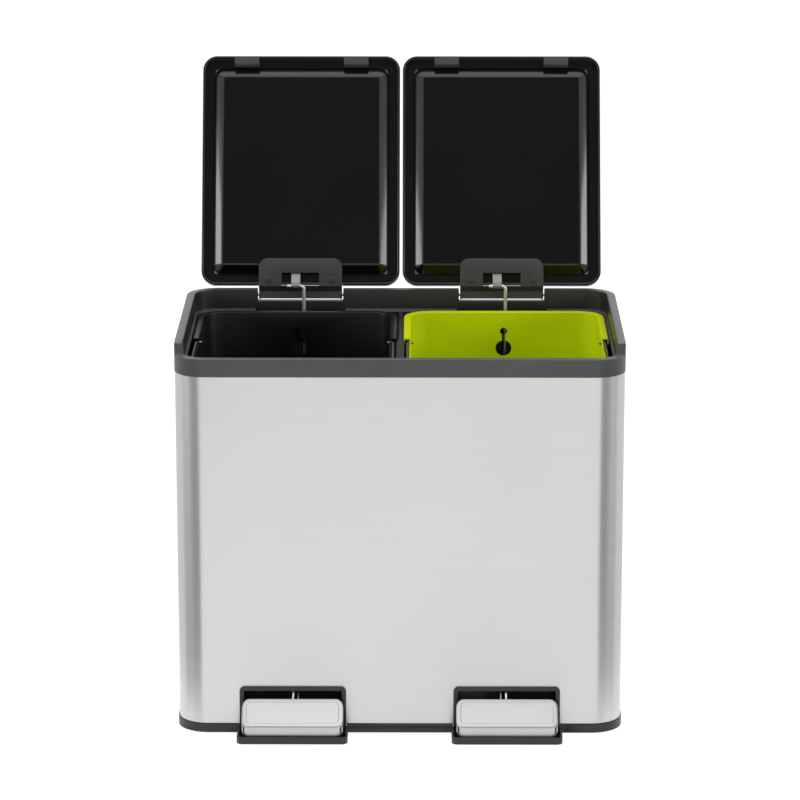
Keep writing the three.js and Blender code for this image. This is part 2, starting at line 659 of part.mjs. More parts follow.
function pedalLever(side) {
  const x = leverX(side);
  const { front, back } = rodReach();
  const slotFront = front - ROD_RADIUS - SLOT_END;
  const slotBack = back + ROD_RADIUS + SLOT_END;
  const end = slotBack + LEVER_TAIL;
  const padFront = FRONT - PEDAL_STANDOFF - LEVER_NOSE;
  const neck = FRONT - PEDAL_STANDOFF;
  const bar = profileX([
    [padFront, leverLine(padFront) - LEVER_NOSE_BELOW],
    [neck, leverLine(neck) - LEVER_NECK_BELOW],
    [LEVER_Y, LEVER_Z - LEVER_BELOW],
    [end, leverLine(end) - LEVER_BELOW],
    [end, leverLine(end) + LEVER_ABOVE],
    [LEVER_Y, LEVER_Z + LEVER_ABOVE],
    [neck, leverLine(neck) + LEVER_ABOVE],
    [padFront, leverLine(padFront) + LEVER_ABOVE],
  ], x - LEVER_THICK / 2, x + LEVER_THICK / 2);
  const slot = profileX([
    [slotFront, leverLine(slotFront) - SLOT_BELOW],
    [slotBack, leverLine(slotBack) - SLOT_BELOW],
    [slotBack, leverLine(slotBack) + SLOT_ABOVE],
    [slotFront, leverLine(slotFront) + SLOT_ABOVE],
  ], x - LEVER_THICK, x + LEVER_THICK);
  const axleHole = barX(AXLE_RADIUS + PIN_PLAY, x - LEVER_THICK, x + LEVER_THICK, LEVER_Y, LEVER_Z);
  return cut(bar, slot, axleHole);
}

function pedalCore(side) {
  const inset = PEDAL_STEEL + SEAT_GAP;
  const core = placedPad(
    slab(padPlan, inset, -PEDAL_HEIGHT + PEDAL_CORE_LIFT, -PEDAL_STEEL - PEDAL_EMBOSS - SEAT_GAP), side);
  const x = leverX(side);
  const half = LEVER_THICK / 2 + SEAT_GAP;
  const padFront = FRONT - PEDAL_STANDOFF - LEVER_NOSE - SEAT_GAP;
  const slot = profileX([
    [padFront, -BLEED],
    [FRONT, -BLEED],
    [FRONT, leverLine(FRONT) + LEVER_ABOVE + SEAT_GAP],
    [padFront, leverLine(padFront) + LEVER_ABOVE + SEAT_GAP],
  ], x - half, x + half);
  return cut(core, slot);
}

// ---- Lifting rod ----
function liftRod(side) {
  const x = rodX(side);
  const low = LEVER_REAR_HEIGHT;
  const lowEnd = leverX(side) - LEVER_THICK / 2 - ROD_RADIUS;
  return barAlong(bentBar([
    [x - ROD_HOOK, EYE_Y, EYE_Z],
    [x, EYE_Y, EYE_Z],
    [x, EYE_Y, low],
    [lowEnd, EYE_Y, low],
  ], ROD_RADIUS, ROD_BEND, 10));
}

// ---- Lid pieces, drawn shut, with the hinge pins' line as the X axis ----
function lidPlan() {
  return {
    y: -HINGE_SETBACK - LID_LENGTH / 2, width: LID_WIDTH, depth: LID_LENGTH, corner: LID_CORNER,
  };
}

function screwPlaces() {
  const out = HINGE_WIDTH / 2 - SCREW_INSET;
  return [['left', -out], ['right', out]];
}

function lidFrame() {
  const plan = lidPlan();
  const flangeUnder = LID_RISE - PANEL_STEEL - SEAT_GAP - LID_FLANGE;
  const shell = cut(
    slab(plan, 0, -LID_LIP, LID_RISE, LID_EDGE, LID_EDGE),
    slab(plan, LID_WALL, -LID_LIP - BLEED, flangeUnder),
    slab(plan, LID_FLANGE_WIDTH, -LID_LIP, LID_RISE + BLEED),
    slab(plan, PANEL_MARGIN, flangeUnder + LID_FLANGE, LID_RISE + BLEED),
  );
  const bosses = screwPlaces().map(([, x]) =>
    barZ(SCREW_RADIUS + BOSS_WALL, x, -SCREW_ALONG, -LID_LIP, flangeUnder + BLEED, 16));
  const holes = screwPlaces().map(([, x]) =>
    barZ(SCREW_RADIUS + PIN_PLAY, x, -SCREW_ALONG, -LID_LIP - BLEED,
      -LID_LIP - SEAT_GAP - HINGE_PLATE + SCREW_LENGTH + 2 * SEAT_GAP, 16));
  return cut(joined(shell, ...bosses), ...holes);
}

function lidPanel() {
  const plan = lidPlan();
  const low = LID_RISE - PANEL_STEEL;
  const inset = PANEL_MARGIN + SEAT_GAP;
  const levels = [[inset, low], [inset, LID_RISE]];
  for (let i = 1; i <= 4; i += 1) {
    const along = i / 4;
    levels.push([inset + along * PANEL_CROWN_RUN, LID_RISE + PANEL_CROWN * Math.sin((along * Math.PI) / 2)]);
  }
  return stack(plan, levels);
}

function lidLiner() {
  const plan = lidPlan();
  const top = LID_RISE - PANEL_STEEL - SEAT_GAP - LID_FLANGE - SEAT_GAP;
  const shoulder = top - LINER_SKIN;
  const slope = (LID_LIP + shoulder) / LINER_BEVEL;
  const hollowFrom = LID_FLANGE_WIDTH;
  const hollowKnee = shoulder + LINER_SKIN - (hollowFrom - LINER_MARGIN) * slope;
  const hollowTo = LINER_MARGIN + LINER_BEVEL + LINER_SKIN / 2;
  return cut(
    stack(plan, [[LINER_MARGIN + LINER_BEVEL, -LID_LIP], [LINER_MARGIN, shoulder], [LINER_MARGIN, top]]),
    stack(plan, [[hollowTo, -LID_LIP + LINER_SKIN], [hollowFrom, hollowKnee], [hollowFrom, top + BLEED]]),
  );
}

function hingePlate() {
  const outer = LID_LIP + SEAT_GAP + HINGE_PLATE;
  const inner = LID_LIP + SEAT_GAP;
  const tailInner = HINGE_TAIL_DROP - HINGE_PLATE;
  const half = HINGE_WIDTH / 2;
  const sheet = profileX([
    [-HINGE_REACH, -outer],
    [-HINGE_STEP_FROM, -outer],
    [-HINGE_STEP_TO, -HINGE_TAIL_DROP],
    [HINGE_TAIL, -HINGE_TAIL_DROP],
    [HINGE_TAIL, -tailInner],
    [-HINGE_STEP_TO, -tailInner],
    [-HINGE_STEP_FROM, -inner],
    [-HINGE_REACH, -inner],
  ], -half, half);
  const corner = {
    y: 0, width: HINGE_WIDTH, depth: 2 * HINGE_REACH, corner: HINGE_CORNER,
  };
  const window = block(-WINDOW_WIDTH / 2, WINDOW_WIDTH / 2, -WINDOW_FAR, -WINDOW_NEAR, -2 * outer, 0);
  const ears = [-1, 1].map((hand) => {
    const [a, b] = [hand * (half - HINGE_EAR), hand * half].sort((p, q) => p - q);
    return joined(
      barX(HINGE_EAR_RADIUS, a, b, 0, 0),
      block(a, b, -HINGE_TAIL, HINGE_TAIL, -tailInner - HINGE_PLATE / 2, 0),
    );
  });
  const holes = screwPlaces().map(([, x]) =>
    barZ(SCREW_RADIUS + PIN_PLAY, x, -SCREW_ALONG, -outer - BLEED, 0, 16));
  const plate = sheet.intersect(slab(corner, 0, -2 * outer, BLEED));
  return cut(joined(plate, ...ears), window, ...holes,
    barX(PIN_RADIUS + PIN_PLAY, -HINGE_WIDTH, HINGE_WIDTH, 0, 0));
}

function hingeScrew(x) {
  const under = LID_LIP + SEAT_GAP + HINGE_PLATE + SEAT_GAP;
  return joined(
    barZ(SCREW_HEAD_RADIUS, x, -SCREW_ALONG, -under - SCREW_HEAD, -under, 16),
    barZ(SCREW_RADIUS, x, -SCREW_ALONG, -under - SCREW_HEAD / 2, -under + SCREW_LENGTH, 12),
  );
}

// Where the eye lies on the shut lid: the open lid's place, turned back about the pins.
function eyePlace() {
  const angle = radians(LID_OPEN);
  const y = -EYE_FORWARD;
  const z = EYE_ABOVE;
  return [y * Math.cos(angle) - z * Math.sin(angle), y * Math.sin(angle) + z * Math.cos(angle)];
}

function liftEye() {
  const [y, z] = eyePlace();
  const x = EYE_SIDE;
  const bore = ROD_RADIUS + PIN_PLAY;
  const radius = bore + EYE_WALL;
  const half = EYE_WIDTH / 2;
  const low = -LID_LIP;
  const knee = new THREE.Vector2(-WINDOW_FAR + STRAP, low + STRAP / 2);
  const across = new THREE.Vector2(y, z).sub(knee).normalize().rotateAround(new THREE.Vector2(), Math.PI / 2)
    .multiplyScalar(STRAP / 2);
  const tail = block(x - half, x + half, -WINDOW_FAR - STRAP_TAIL, knee.x, low, low + STRAP);
  const leg = profileX([
    [knee.x - across.x, knee.y - across.y],
    [y - across.x, z - across.y],
    [y + across.x, z + across.y],
    [knee.x + across.x, knee.y + across.y],
  ], x - half, x + half);
  return cut(
    joined(tail, leg, barX(radius, x - half, x + half, y, z)),
    barX(bore, x - EYE_WIDTH, x + EYE_WIDTH, y, z),
  );
}

function lidBumper(x) {
  const frontEdge = -HINGE_SETBACK - LID_LENGTH;
  const faceLow = -LID_LIP - SEAT_GAP - BUMPER_FACE;
  const grooveTop = LID_RISE - PANEL_STEEL - SEAT_GAP - LID_FLANGE - SEAT_GAP;
  const inLip = frontEdge + LID_WALL + SEAT_GAP;
  const linerEdge = frontEdge + LINER_MARGIN - SEAT_GAP;
  return profileX([
    [frontEdge + BUMPER_BACKSET, faceLow],
    [frontEdge + BUMPER_BACKSET + BUMPER_DEPTH - BUMPER_FACE, faceLow],
    [linerEdge, faceLow + 2 * BUMPER_FACE],
    [linerEdge, grooveTop],
    [inLip, grooveTop],
    [inLip, -LID_LIP - SEAT_GAP],
    [frontEdge + BUMPER_BACKSET, -LID_LIP - SEAT_GAP],
  ], x - BUMPER_WIDTH / 2, x + BUMPER_WIDTH / 2);
}

function lid(name, side) {
  const group = new THREE.Group();
  group.position.set(side * LID_X, PIN_Y, PIN_Z);
  group.rotation.x = -radians(LID_OPEN);
  group.add(piece(`lid_frame_${name}`, lidFrame(), 'blackPlastic'));
  group.add(piece(`lid_panel_${name}`, lidPanel(), 'steel'));
  group.add(piece(`lid_liner_${name}`, lidLiner(), 'glossPlastic'));
  group.add(piece(`hinge_plate_${name}`, hingePlate(), 'darkSteel'));
  group.add(piece(`lift_eye_${name}`, liftEye(), 'zinc'));
  for (const [hand, x] of screwPlaces()) {
    group.add(piece(`hinge_screw_${name}_${hand}`, hingeScrew(x), 'darkSteel'));
  }
  for (const [hand, sign] of SIDES) {
    group.add(piece(`lid_bumper_${name}_${hand}`, lidBumper((sign * BUMPER_SPACING) / 2), 'rubber'));
  }
  return group;
}

function hingePin(side, hand) {
  const inner = HINGE_WIDTH / 2 - HINGE_EAR;
  const outer = HINGE_WIDTH / 2 + NOTCH_PLAY + PIN_GRIP;
  const x = side * LID_X;
  const [a, b] = [x + hand * inner, x + hand * outer].sort((p, q) => p - q);
  return barX(PIN_RADIUS, a, b, PIN_Y, PIN_Z, 16);
}

// ---- Buckets ----
function bucket(side) {
  const x = side * BUCKET_X;
  const plan = {
    x, y: BUCKET_MIDDLE, width: BUCKET_WIDTH, depth: BUCKET_DEPTH, corner: BUCKET_CORNER,
  };
  const flangeUnder = BUCKET_TOP - FLANGE_THICK;
  const tub = stack(plan, [
    [BUCKET_TAPER + BUCKET_FLOOR, BUCKET_BOTTOM],
    [BUCKET_TAPER, BUCKET_BOTTOM + BUCKET_FLOOR],
    [0, flangeUnder],
    [0, BUCKET_TOP],
  ], 6);
  const inside = stack(plan, [
    [BUCKET_TAPER + BUCKET_WALL, BUCKET_BOTTOM + BUCKET_FLOOR],
    [BUCKET_WALL, flangeUnder],
    [BUCKET_WALL, BUCKET_TOP + BLEED],
  ], 6);
  const flange = cut(
    slab(plan, -FLANGE_WIDTH, BUCKET_TOP - FLANGE_SKIRT, BUCKET_TOP, 0, BLEED / 2),
    slab(plan, -FLANGE_WIDTH + FLANGE_SKIRT_WALL, BUCKET_TOP - FLANGE_SKIRT - BLEED, flangeUnder),
    block(x - BUCKET_WIDTH, x + BUCKET_WIDTH, FRONT, FRONT + FLANGE_END,
      BUCKET_TOP - 2 * FLANGE_SKIRT, BUCKET_TOP + BLEED),
  );
  const smallHole = BUCKET_TOP - KEYHOLE_SMALL_DROP;
  const bigHole = smallHole - KEYHOLE_SPACING;
  const wallY = BUCKET_BACK;
  const drill = (radius, z) => {
    const geometry = new THREE.CylinderGeometry(radius, radius, 8 * BUCKET_WALL, 20);
    geometry.translate(x, wallY - BUCKET_WALL, z);
    return solid(geometry);
  };
  const pivot = barX(BAIL_RADIUS + PIN_PLAY, x - BUCKET_WIDTH, x + BUCKET_WIDTH,
    bailPivotY(), BUCKET_TOP - BAIL_DROP, 12);
  return cut(joined(tub, flange), inside, pivot,
    drill(KEYHOLE_SMALL_RADIUS, smallHole), drill(KEYHOLE_BIG_RADIUS, bigHole),
    block(x - KEYHOLE_NECK / 2, x + KEYHOLE_NECK / 2, wallY - 4 * BUCKET_WALL, wallY + 2 * BUCKET_WALL,
      bigHole, smallHole));
}

function bailPivotY() {
  return FRONT + FLANGE_END - 2 * BAIL_RADIUS;
}

function bailHandle(side) {
  const x = side * BUCKET_X;
  const out = BUCKET_WIDTH / 2 + 2 * SEAT_GAP + BAIL_RADIUS;
  const inEnd = BUCKET_WIDTH / 2 - BAIL_HOOK;
  const y = bailPivotY();
  const front = BUCKET_FRONT - 2 * SEAT_GAP - BAIL_RADIUS;
  const z = BUCKET_TOP - BAIL_DROP;
  const bend = 2 * BAIL_RADIUS;
  // the corners of the wire follow the bucket's, so the wire keeps clear of the wall
  return barAlong(bentBar([
    [x - inEnd, y, z],
    [x - out, y, z],
    [x - out, front + BAIL_BEND, z],
    [x - out + BAIL_BEND, front, z],
    [x + out - BAIL_BEND, front, z],
    [x + out, front + BAIL_BEND, z],
    [x + out, y, z],
    [x + inEnd, y, z],
  ], BAIL_RADIUS, bend, 8), 3);
}

// ---- Assembly ----
const bin = new THREE.Group();
bin.add(piece('body_shell', bodyShell(), 'steel'));
bin.add(piece('top_rim', topRim(), 'rimPlastic'));
bin.add(piece('base_pan', basePan(), 'blackPlastic'));
bin.add(piece('centre_bar', centreBar(), 'blackPlastic'));
for (const [place, x, y] of feetPlaces()) {
  bin.add(piece(`foot_${place}`, foot(x, y), 'rubber'));
}
for (const [name, side] of SIDES) {
  const axle = barX(AXLE_RADIUS, leverX(side) - AXLE_LENGTH / 2, leverX(side) + AXLE_LENGTH / 2,
    LEVER_Y, LEVER_Z, 16);
  bin.add(piece(`pedal_housing_${name}`, pedalHousing(side), 'blackPlastic'));
  bin.add(piece(`lever_axle_${name}`, axle, 'zinc'));
  for (const [hand, sign] of SIDES) {
    bin.add(piece(`hinge_pin_${name}_${hand}`, hingePin(side, sign), 'zinc'));
  }
  bin.add(lid(name, side));
  bin.add(piece(`lift_rod_${name}`, liftRod(side), 'zinc'));
  bin.add(piece(`pedal_lever_${name}`, pedalLever(side), 'zinc'));
  bin.add(piece(`pedal_core_${name}`, pedalCore(side), 'blackPlastic'));
  bin.add(piece(`pedal_cover_${name}`, pedalCover(side), 'steel'));
  bin.add(piece(`bucket_${name}`, bucket(side), side < 0 ? 'blackPlastic' : 'limePlastic'));
  bin.add(piece(`bail_handle_${name}`, bailHandle(side), 'zinc'));
}

export default bin;
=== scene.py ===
import json
import math

import bmesh
import bpy
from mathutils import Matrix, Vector

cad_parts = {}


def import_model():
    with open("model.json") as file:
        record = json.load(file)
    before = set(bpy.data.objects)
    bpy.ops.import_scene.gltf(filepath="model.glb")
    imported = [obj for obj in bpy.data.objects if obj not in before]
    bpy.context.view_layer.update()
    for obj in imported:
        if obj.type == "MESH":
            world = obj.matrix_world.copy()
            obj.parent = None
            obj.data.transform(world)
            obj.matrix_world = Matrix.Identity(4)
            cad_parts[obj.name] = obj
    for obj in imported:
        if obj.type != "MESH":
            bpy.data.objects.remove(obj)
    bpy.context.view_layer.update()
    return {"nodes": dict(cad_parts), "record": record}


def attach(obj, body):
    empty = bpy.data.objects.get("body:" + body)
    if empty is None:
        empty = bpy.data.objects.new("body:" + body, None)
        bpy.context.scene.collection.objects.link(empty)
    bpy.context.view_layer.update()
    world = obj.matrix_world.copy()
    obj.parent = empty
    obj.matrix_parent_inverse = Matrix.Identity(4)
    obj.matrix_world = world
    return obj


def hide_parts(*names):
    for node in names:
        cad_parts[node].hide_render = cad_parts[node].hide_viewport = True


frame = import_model()

MM = 0.001
SIDES = {"left": -1, "right": 1}

# Sizes in millimetres and angles in degrees. An edge that bends by more than SMOOTH counts as sharp,
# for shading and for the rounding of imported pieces. Points nearer to each other than DOUBLES are merged.
SMOOTH = 35
DOUBLES, PACKED_DOUBLES = 0.001, 0.01
WRAP = (588, 361)
WRAP_LOW, WRAP_HEIGHT, WRAP_CORNER = 13.3, 472.4, 40.5
WRAP_THICKNESS = 0.8
RIM = (589, 362)
RIM_CORNER = 41
RIM_LOW, RIM_TOP, LEDGE = 486, 523.4, 496.5
RIM_WALL, RIM_FOOT, RIM_SINK = 11.5, 1.6, 18
LEDGE_SIDE, LEDGE_FRONT, LEDGE_BACK, LEDGE_SKIRT = 3.2, 13.3, 16.2, 468
FRONT_DROP, FRONT_LEDGE_RISE = 13.7, 5.6
NOTCH_HALF, NOTCH_LOW = 59, 507.2
LID_X = 139.05
BUCKET_X = 141.3
PEDAL_X = 141.5
PEDAL_HOLE_HALF, PEDAL_HOLE_TOP = 67.6, 61.7
PAD_TILT = 38.4
PINS = (173, 515.2)
LID_OPEN = 112
ROD_Y, ROD_TOP, ROD_LOW = 159.5, 530.2, 43
BAIL_Y, BAIL_Z = -21, 493.5
HOLE_HIGH, HOLE_LOW = 471.8, 447.8


# ---- Working by hand ----
def alone(piece):
    """Leaves edit mode and makes the piece the only thing selected."""
    if bpy.context.mode != "OBJECT":
        bpy.ops.object.mode_set(mode="OBJECT")
    bpy.ops.object.select_all(action="DESELECT")
    if piece:
        bpy.context.view_layer.objects.active = piece
        piece.select_set(True)
    return piece


def begun(name):
    """Names the primitive just added and settles its place and size in its mesh."""
    piece = bpy.context.object
    piece.name = piece.data.name = name
    bpy.ops.object.transform_apply(location=True, rotation=True, scale=True)
    return piece


def block(name, low, high):
    alone(None)
    bpy.ops.mesh.primitive_cube_add(size=1, location=[(a + b) / 2 for a, b in zip(low, high)])
    bpy.context.object.scale = [b - a for a, b in zip(low, high)]
    return begun(name)


def round_bar(name, radius, low, high, sides=24):
    """A round bar from one point to another."""
    alone(None)
    low, high = Vector(low), Vector(high)
    along = high - low
    bpy.ops.mesh.primitive_cylinder_add(vertices=sides, radius=radius, depth=along.length,
                                        location=(low + high) / 2)
    bpy.context.object.rotation_euler = along.to_track_quat("Z", "Y").to_euler()
    return begun(name)


def sheet(name, width, depth, z, corner=0, x=0, y=0, segments=14):
    """A flat rounded rectangle, left in edit mode with its face selected."""
    alone(None)
    bpy.ops.mesh.primitive_plane_add(size=1, location=(x, y, z))
    bpy.context.object.scale = (width, depth, 1)
    piece = begun(name)
    bpy.ops.object.mode_set(mode="EDIT")
    bpy.ops.mesh.select_mode(type="VERT")
    bpy.ops.mesh.select_all(action="SELECT")
    if corner:
        bpy.ops.mesh.bevel(offset=corner, segments=segments, affect="VERTICES")
    bpy.ops.mesh.select_mode(type="FACE")
    bpy.ops.mesh.select_all(action="SELECT")
    return piece


def where(part):
    """The middle of a point, an edge or a face."""
    if isinstance(part, bmesh.types.BMVert):
        return part.co
    return sum((v.co for v in part.verts), Vector()) / len(part.verts)


def pick(piece, test, kind="FACE"):
    """Selects in edit mode the parts whose middle passes the test."""
    if bpy.context.mode == "OBJECT":
        alone(piece)
        bpy.ops.object.mode_set(mode="EDIT")
    bpy.ops.mesh.select_mode(type=kind)
    bpy.ops.mesh.select_all(action="DESELECT")
    mesh = bmesh.from_edit_mesh(piece.data)
    mesh.normal_update()
    parts = {"VERT": mesh.verts, "EDGE": mesh.edges, "FACE": mesh.faces}[kind]
    for part in parts:
        part.select_set(bool(test(part)))
    mesh.select_flush_mode()
    bmesh.update_edit_mesh(piece.data)


def is_cap(face):
    """True for a face that closes a rounded outline, which has many corners."""
    return len(face.verts) > 20


def is_open(edge):
    """True for an edge with a face on one side only."""
    return len(edge.link_faces) == 1


def bends(edge, angle):
    """True for an edge whose two faces turn by more than the angle, in radians."""
    return edge.calc_face_angle(0) > angle


def rise(height):
    """Extrudes the selected face straight up or down."""
    bpy.ops.mesh.extrude_region_move(TRANSFORM_OT_translate={"value": (0, 0, height)})


def step_in(width, height=0):
    """Insets the selected face, and moves it along its normal."""
    bpy.ops.mesh.inset(thickness=width, depth=height, use_even_offset=True)


def shift(x=0, y=0, z=0):
    bpy.ops.transform.translate(value=(x, y, z))


def split(piece, at, normal):
    """Cuts the whole mesh along a plane and keeps both sides."""
    pick(piece, lambda part: True)
    bpy.ops.mesh.bisect(plane_co=at, plane_no=normal)


def remove(piece, test):
    pick(piece, test)
    bpy.ops.mesh.delete(type="FACE")


def soften(piece, test, width, segments=3):
    """Rounds the edges whose middle passes the test."""
    pick(piece, test, "EDGE")
    bpy.ops.mesh.bevel(offset=width, segments=segments, affect="EDGES")


def work(piece, kind, **settings):
    """Adds a modifier and applies it."""
    alone(piece)
    modifier = piece.modifiers.new(kind.title(), kind)
    for key, value in settings.items():
        setattr(modifier, key, value)
    bpy.ops.object.modifier_apply(modifier=modifier.name)
    return piece


def carve(piece, *tools):
    for tool in tools:
        work(piece, "BOOLEAN", operation="DIFFERENCE", solver="EXACT", object=tool)
        bpy.data.objects.remove(tool)
    return piece


def one(name, *pieces):
    """Joins pieces into the first of them."""
    alone(pieces[0])
    for piece in pieces[1:]:
        piece.select_set(True)
    bpy.ops.object.join()
    pieces[0].name = pieces[0].data.name = name
    return pieces[0]


def tidy(piece):
    """Merges doubles and turns the faces outwards."""
    pick(piece, lambda part: True, "VERT")
    bpy.ops.mesh.remove_doubles(threshold=DOUBLES)
    bpy.ops.mesh.normals_make_consistent(inside=False)
    return alone(piece)


def copied(piece, name, x=0):
    alone(piece)
    bpy.ops.object.duplicate()
    twin = bpy.context.object
    twin.name = twin.data.name = name
    twin.location = (x, 0, 0)
    bpy.ops.object.transform_apply(location=True, rotation=False, scale=False)
    return twin


def hung(piece, side):
    """Opens a lid's piece, drawn shut with the hinge pins as its X axis, and hangs it on its pins."""
    alone(piece)
    piece.rotation_euler = (-math.radians(LID_OPEN), 0, 0)
    piece.location = (side * LID_X, *PINS)
    bpy.ops.object.transform_apply(location=True, rotation=True, scale=True)
    return piece


def node_copy(node, name, bevel, segments=2):
    """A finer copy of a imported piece, in millimetres, with its doubles merged and its edges rounded."""
    piece = bpy.data.objects.new(name, frame["nodes"][node].data.copy())
    piece.data.name = name
    piece.data.materials.clear()
    bpy.context.scene.collection.objects.link(piece)
    alone(piece)
    piece.scale = (1 / MM, 1 / MM, 1 / MM)
    bpy.ops.object.transform_apply(location=True, rotation=True, scale=True)
    pick(piece, lambda part: True, "VERT")
    bpy.ops.mesh.remove_doubles(threshold=PACKED_DOUBLES)
    bpy.ops.mesh.dissolve_limited(angle_limit=math.radians(1))
    return work(piece, "BEVEL", width=bevel, segments=segments, limit_method="ANGLE",
                angle_limit=math.radians(SMOOTH), harden_normals=False)


def finished(piece, body, slot, *nodes, smooth=SMOOTH):
    """Settles a piece in metres, gives it its finish and body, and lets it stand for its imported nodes."""
    alone(piece)
    piece.scale = (MM, MM, MM)
    bpy.ops.object.transform_apply(location=True, rotation=True, scale=True)
    bpy.ops.object.shade_smooth_by_angle(angle=math.radians(smooth))
    piece.data.materials.clear()
    piece.data.materials.append(finishes[slot])
    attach(piece, body)
    if nodes:
        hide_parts(*nodes)
    return piece


def second_finish(piece, slot, test):
    """Gives the faces that pass the test a finish of their own."""
    piece.data.materials.append(finishes[slot])
    pick(piece, test)
    piece.active_material_index = 1
    bpy.ops.object.material_slot_assign()
    alone(piece)


# ---- Finishes ----
class Value:
    """A number that varies over a surface."""

    def __init__(self, finish, socket):
        self.finish = finish
        self.socket = socket

    def _math(self, operation, first, second):
        return self.finish.node("ShaderNodeMath", {"operation": operation}, {0: first, 1: second})

    def __add__(self, other):
        return self._math("ADD", self, other)

    __radd__ = __add__

    def __sub__(self, other):
        return self._math("SUBTRACT", self, other)

    def __mul__(self, other):
        return self._math("MULTIPLY", self, other)

    __rmul__ = __mul__

    def over(self, edge):
        """1 where the number is above the edge, and 0 elsewhere."""
        return self._math("GREATER_THAN", self, edge)


class Finish:
    """A material with one shader."""

    def __init__(self, name, **sockets):
        self.material = bpy.data.materials.new(name)
        self.material.use_nodes = True
        self.tree = self.material.node_tree
        self.shader = self.tree.nodes["Principled BSDF"]
        for socket, value in sockets.items():
            self.shader.inputs[socket.replace("_", " ")].default_value = value

    def node(self, kind, settings, inputs, output=0):
        node = self.tree.nodes.new(kind)
        for key, value in settings.items():
            setattr(node, key, value)
        for key, value in inputs.items():
            self.feed(node.inputs[key], value)
        return Value(self, node.outputs[output])

    def feed(self, socket, value):
        if isinstance(value, Value):
            self.tree.links.new(value.socket, socket)
        else:
            socket.default_value = value

    def place(self, scale=(1, 1, 1)):
        """Object coordinates, stretched."""
        at = self.node("ShaderNodeTexCoord", {}, {}, "Object")
        return self.node("ShaderNodeMapping", {}, {"Vector": at, "Scale": scale})

    def noise(self, at, scale, detail, rough):
        return self.node("ShaderNodeTexNoise", {}, {
            "Vector": at, "Scale": scale, "Detail": detail, "Roughness": rough})

    def spread(self, value, low, high):
        """Stretches the numbers from low to high over 0 to 1."""
        return self.node("ShaderNodeMapRange", {}, {"Value": value, "From Min": low, "From Max": high})

    def blend(self, amount, first, second):
        """Mixes two colours."""
        return self.node("ShaderNodeMix", {"data_type": "RGBA"}, {
            "Factor": amount, 6: first, 7: second}, 2)

    def colour(self, value):
        self.feed(self.shader.inputs["Base Color"], value)

    def roughness(self, value):
        self.feed(self.shader.inputs["Roughness"], value)

    def relief(self, height, depth, strength):
        bump = self.node("ShaderNodeBump", {}, {
            "Height": height, "Distance": depth, "Strength": strength})
        self.feed(self.shader.inputs["Normal"], bump)


def grey(level, warmth=0.0):
    return (level + warmth, level, level - warmth, 1)


def brushed_steel(name, level, stretch, rough=0.34, anisotropy=0.0, turn=0.0):
    """Stainless steel with fine short lines. stretch says how fast the pattern runs along X, Y and Z."""
    finish = Finish(name, Metallic=1.0, Anisotropic=anisotropy, Anisotropic_Rotation=turn)
    lines = finish.noise(finish.place(stretch), 1.0, 3.0, 0.6)
    long_lines = finish.noise(finish.place([s * 0.3 for s in stretch]), 1.0, 2.0, 0.5)
    cloud = finish.noise(finish.place((3, 3, 3)), 1.0, 2.0, 0.5)
    grain = finish.spread(lines * 0.65 + long_lines * 0.35, 0.3, 0.7)
    finish.colour(finish.blend(grain, grey(level * 0.93), grey(level * 1.04)))
    finish.roughness(rough + 0.07 * grain + 0.05 * finish.spread(cloud, 0.35, 0.65) - 0.05)
    finish.relief(grain, 0.000012, 0.6)
    return finish.material


def moulded(name, colour, rough, grain_size=0.0006, depth=0.00003, spec=0.5, shade=0.12):
    """Moulded plastic with a fine eroded grain and slight clouding."""
    finish = Finish(name, Specular_IOR_Level=spec)
    grain = finish.noise(finish.place(), 1 / grain_size, 2.0, 0.6)
    cloud = finish.noise(finish.place(), 14.0, 3.0, 0.5)
    dark = tuple(c * (1 - shade) for c in colour) + (1,)
    light = tuple(c * (1 + shade) for c in colour) + (1,)
    finish.colour(finish.blend(finish.spread(cloud, 0.3, 0.7), dark, light))
    finish.roughness(rough + 0.06 * finish.spread(cloud, 0.3, 0.7) + 0.05 * grain - 0.05)
    finish.relief(grain, depth, 0.5)
    return finish.material


def polished(name, colour, rough):
    """Polished plastic with the faintest orange peel and a little dust."""
    finish = Finish(name, Specular_IOR_Level=0.5)
    peel = finish.noise(finish.place(), 55.0, 1.0, 0.4)
    dust = finish.noise(finish.place(), 900.0, 2.0, 0.7)
    haze = finish.noise(finish.place(), 6.0, 2.0, 0.5)
    finish.colour(finish.blend(finish.spread(dust, 0.72, 0.8), colour, grey(0.03)))
    finish.roughness(rough + 0.05 * finish.spread(haze, 0.35, 0.65))
    finish.relief(peel, 0.00005, 0.25)
    return finish.material


def powder_coat(name, level):
    """Fine-textured dark paint on pressed steel."""
    finish = Finish(name, Specular_IOR_Level=0.45)
    fine = finish.noise(finish.place(), 1500.0, 2.0, 0.6)
    finish.colour(finish.blend(fine, grey(level * 0.8), grey(level * 1.2)))
    finish.roughness(0.42 + 0.12 * fine)
    finish.relief(fine, 0.00005, 0.6)
    return finish.material


def zinc(name, low, high):
    """Zinc-plated steel, faintly mottled and drawn."""
    finish = Finish(name, Metallic=1.0)
    mottle = finish.noise(finish.place(), 260.0, 3.0, 0.6)
    drawn = finish.noise(finish.place(), 40.0, 2.0, 0.5)
    finish.colour(finish.blend(mottle, grey(low, 0.01), grey(high, 0.004)))
    finish.roughness(0.3 + 0.18 * mottle + 0.08 * drawn)
    finish.relief(mottle, 0.00004, 0.4)
    return finish.material


def rubber(name):
    finish = Finish(name, Specular_IOR_Level=0.3)
    speck = finish.noise(finish.place(), 1100.0, 2.0, 0.6)
    finish.colour(finish.blend(speck, grey(0.045), grey(0.085)))
    finish.roughness(0.62 + 0.14 * speck)
    finish.relief(speck, 0.00006, 0.6)
    return finish.material


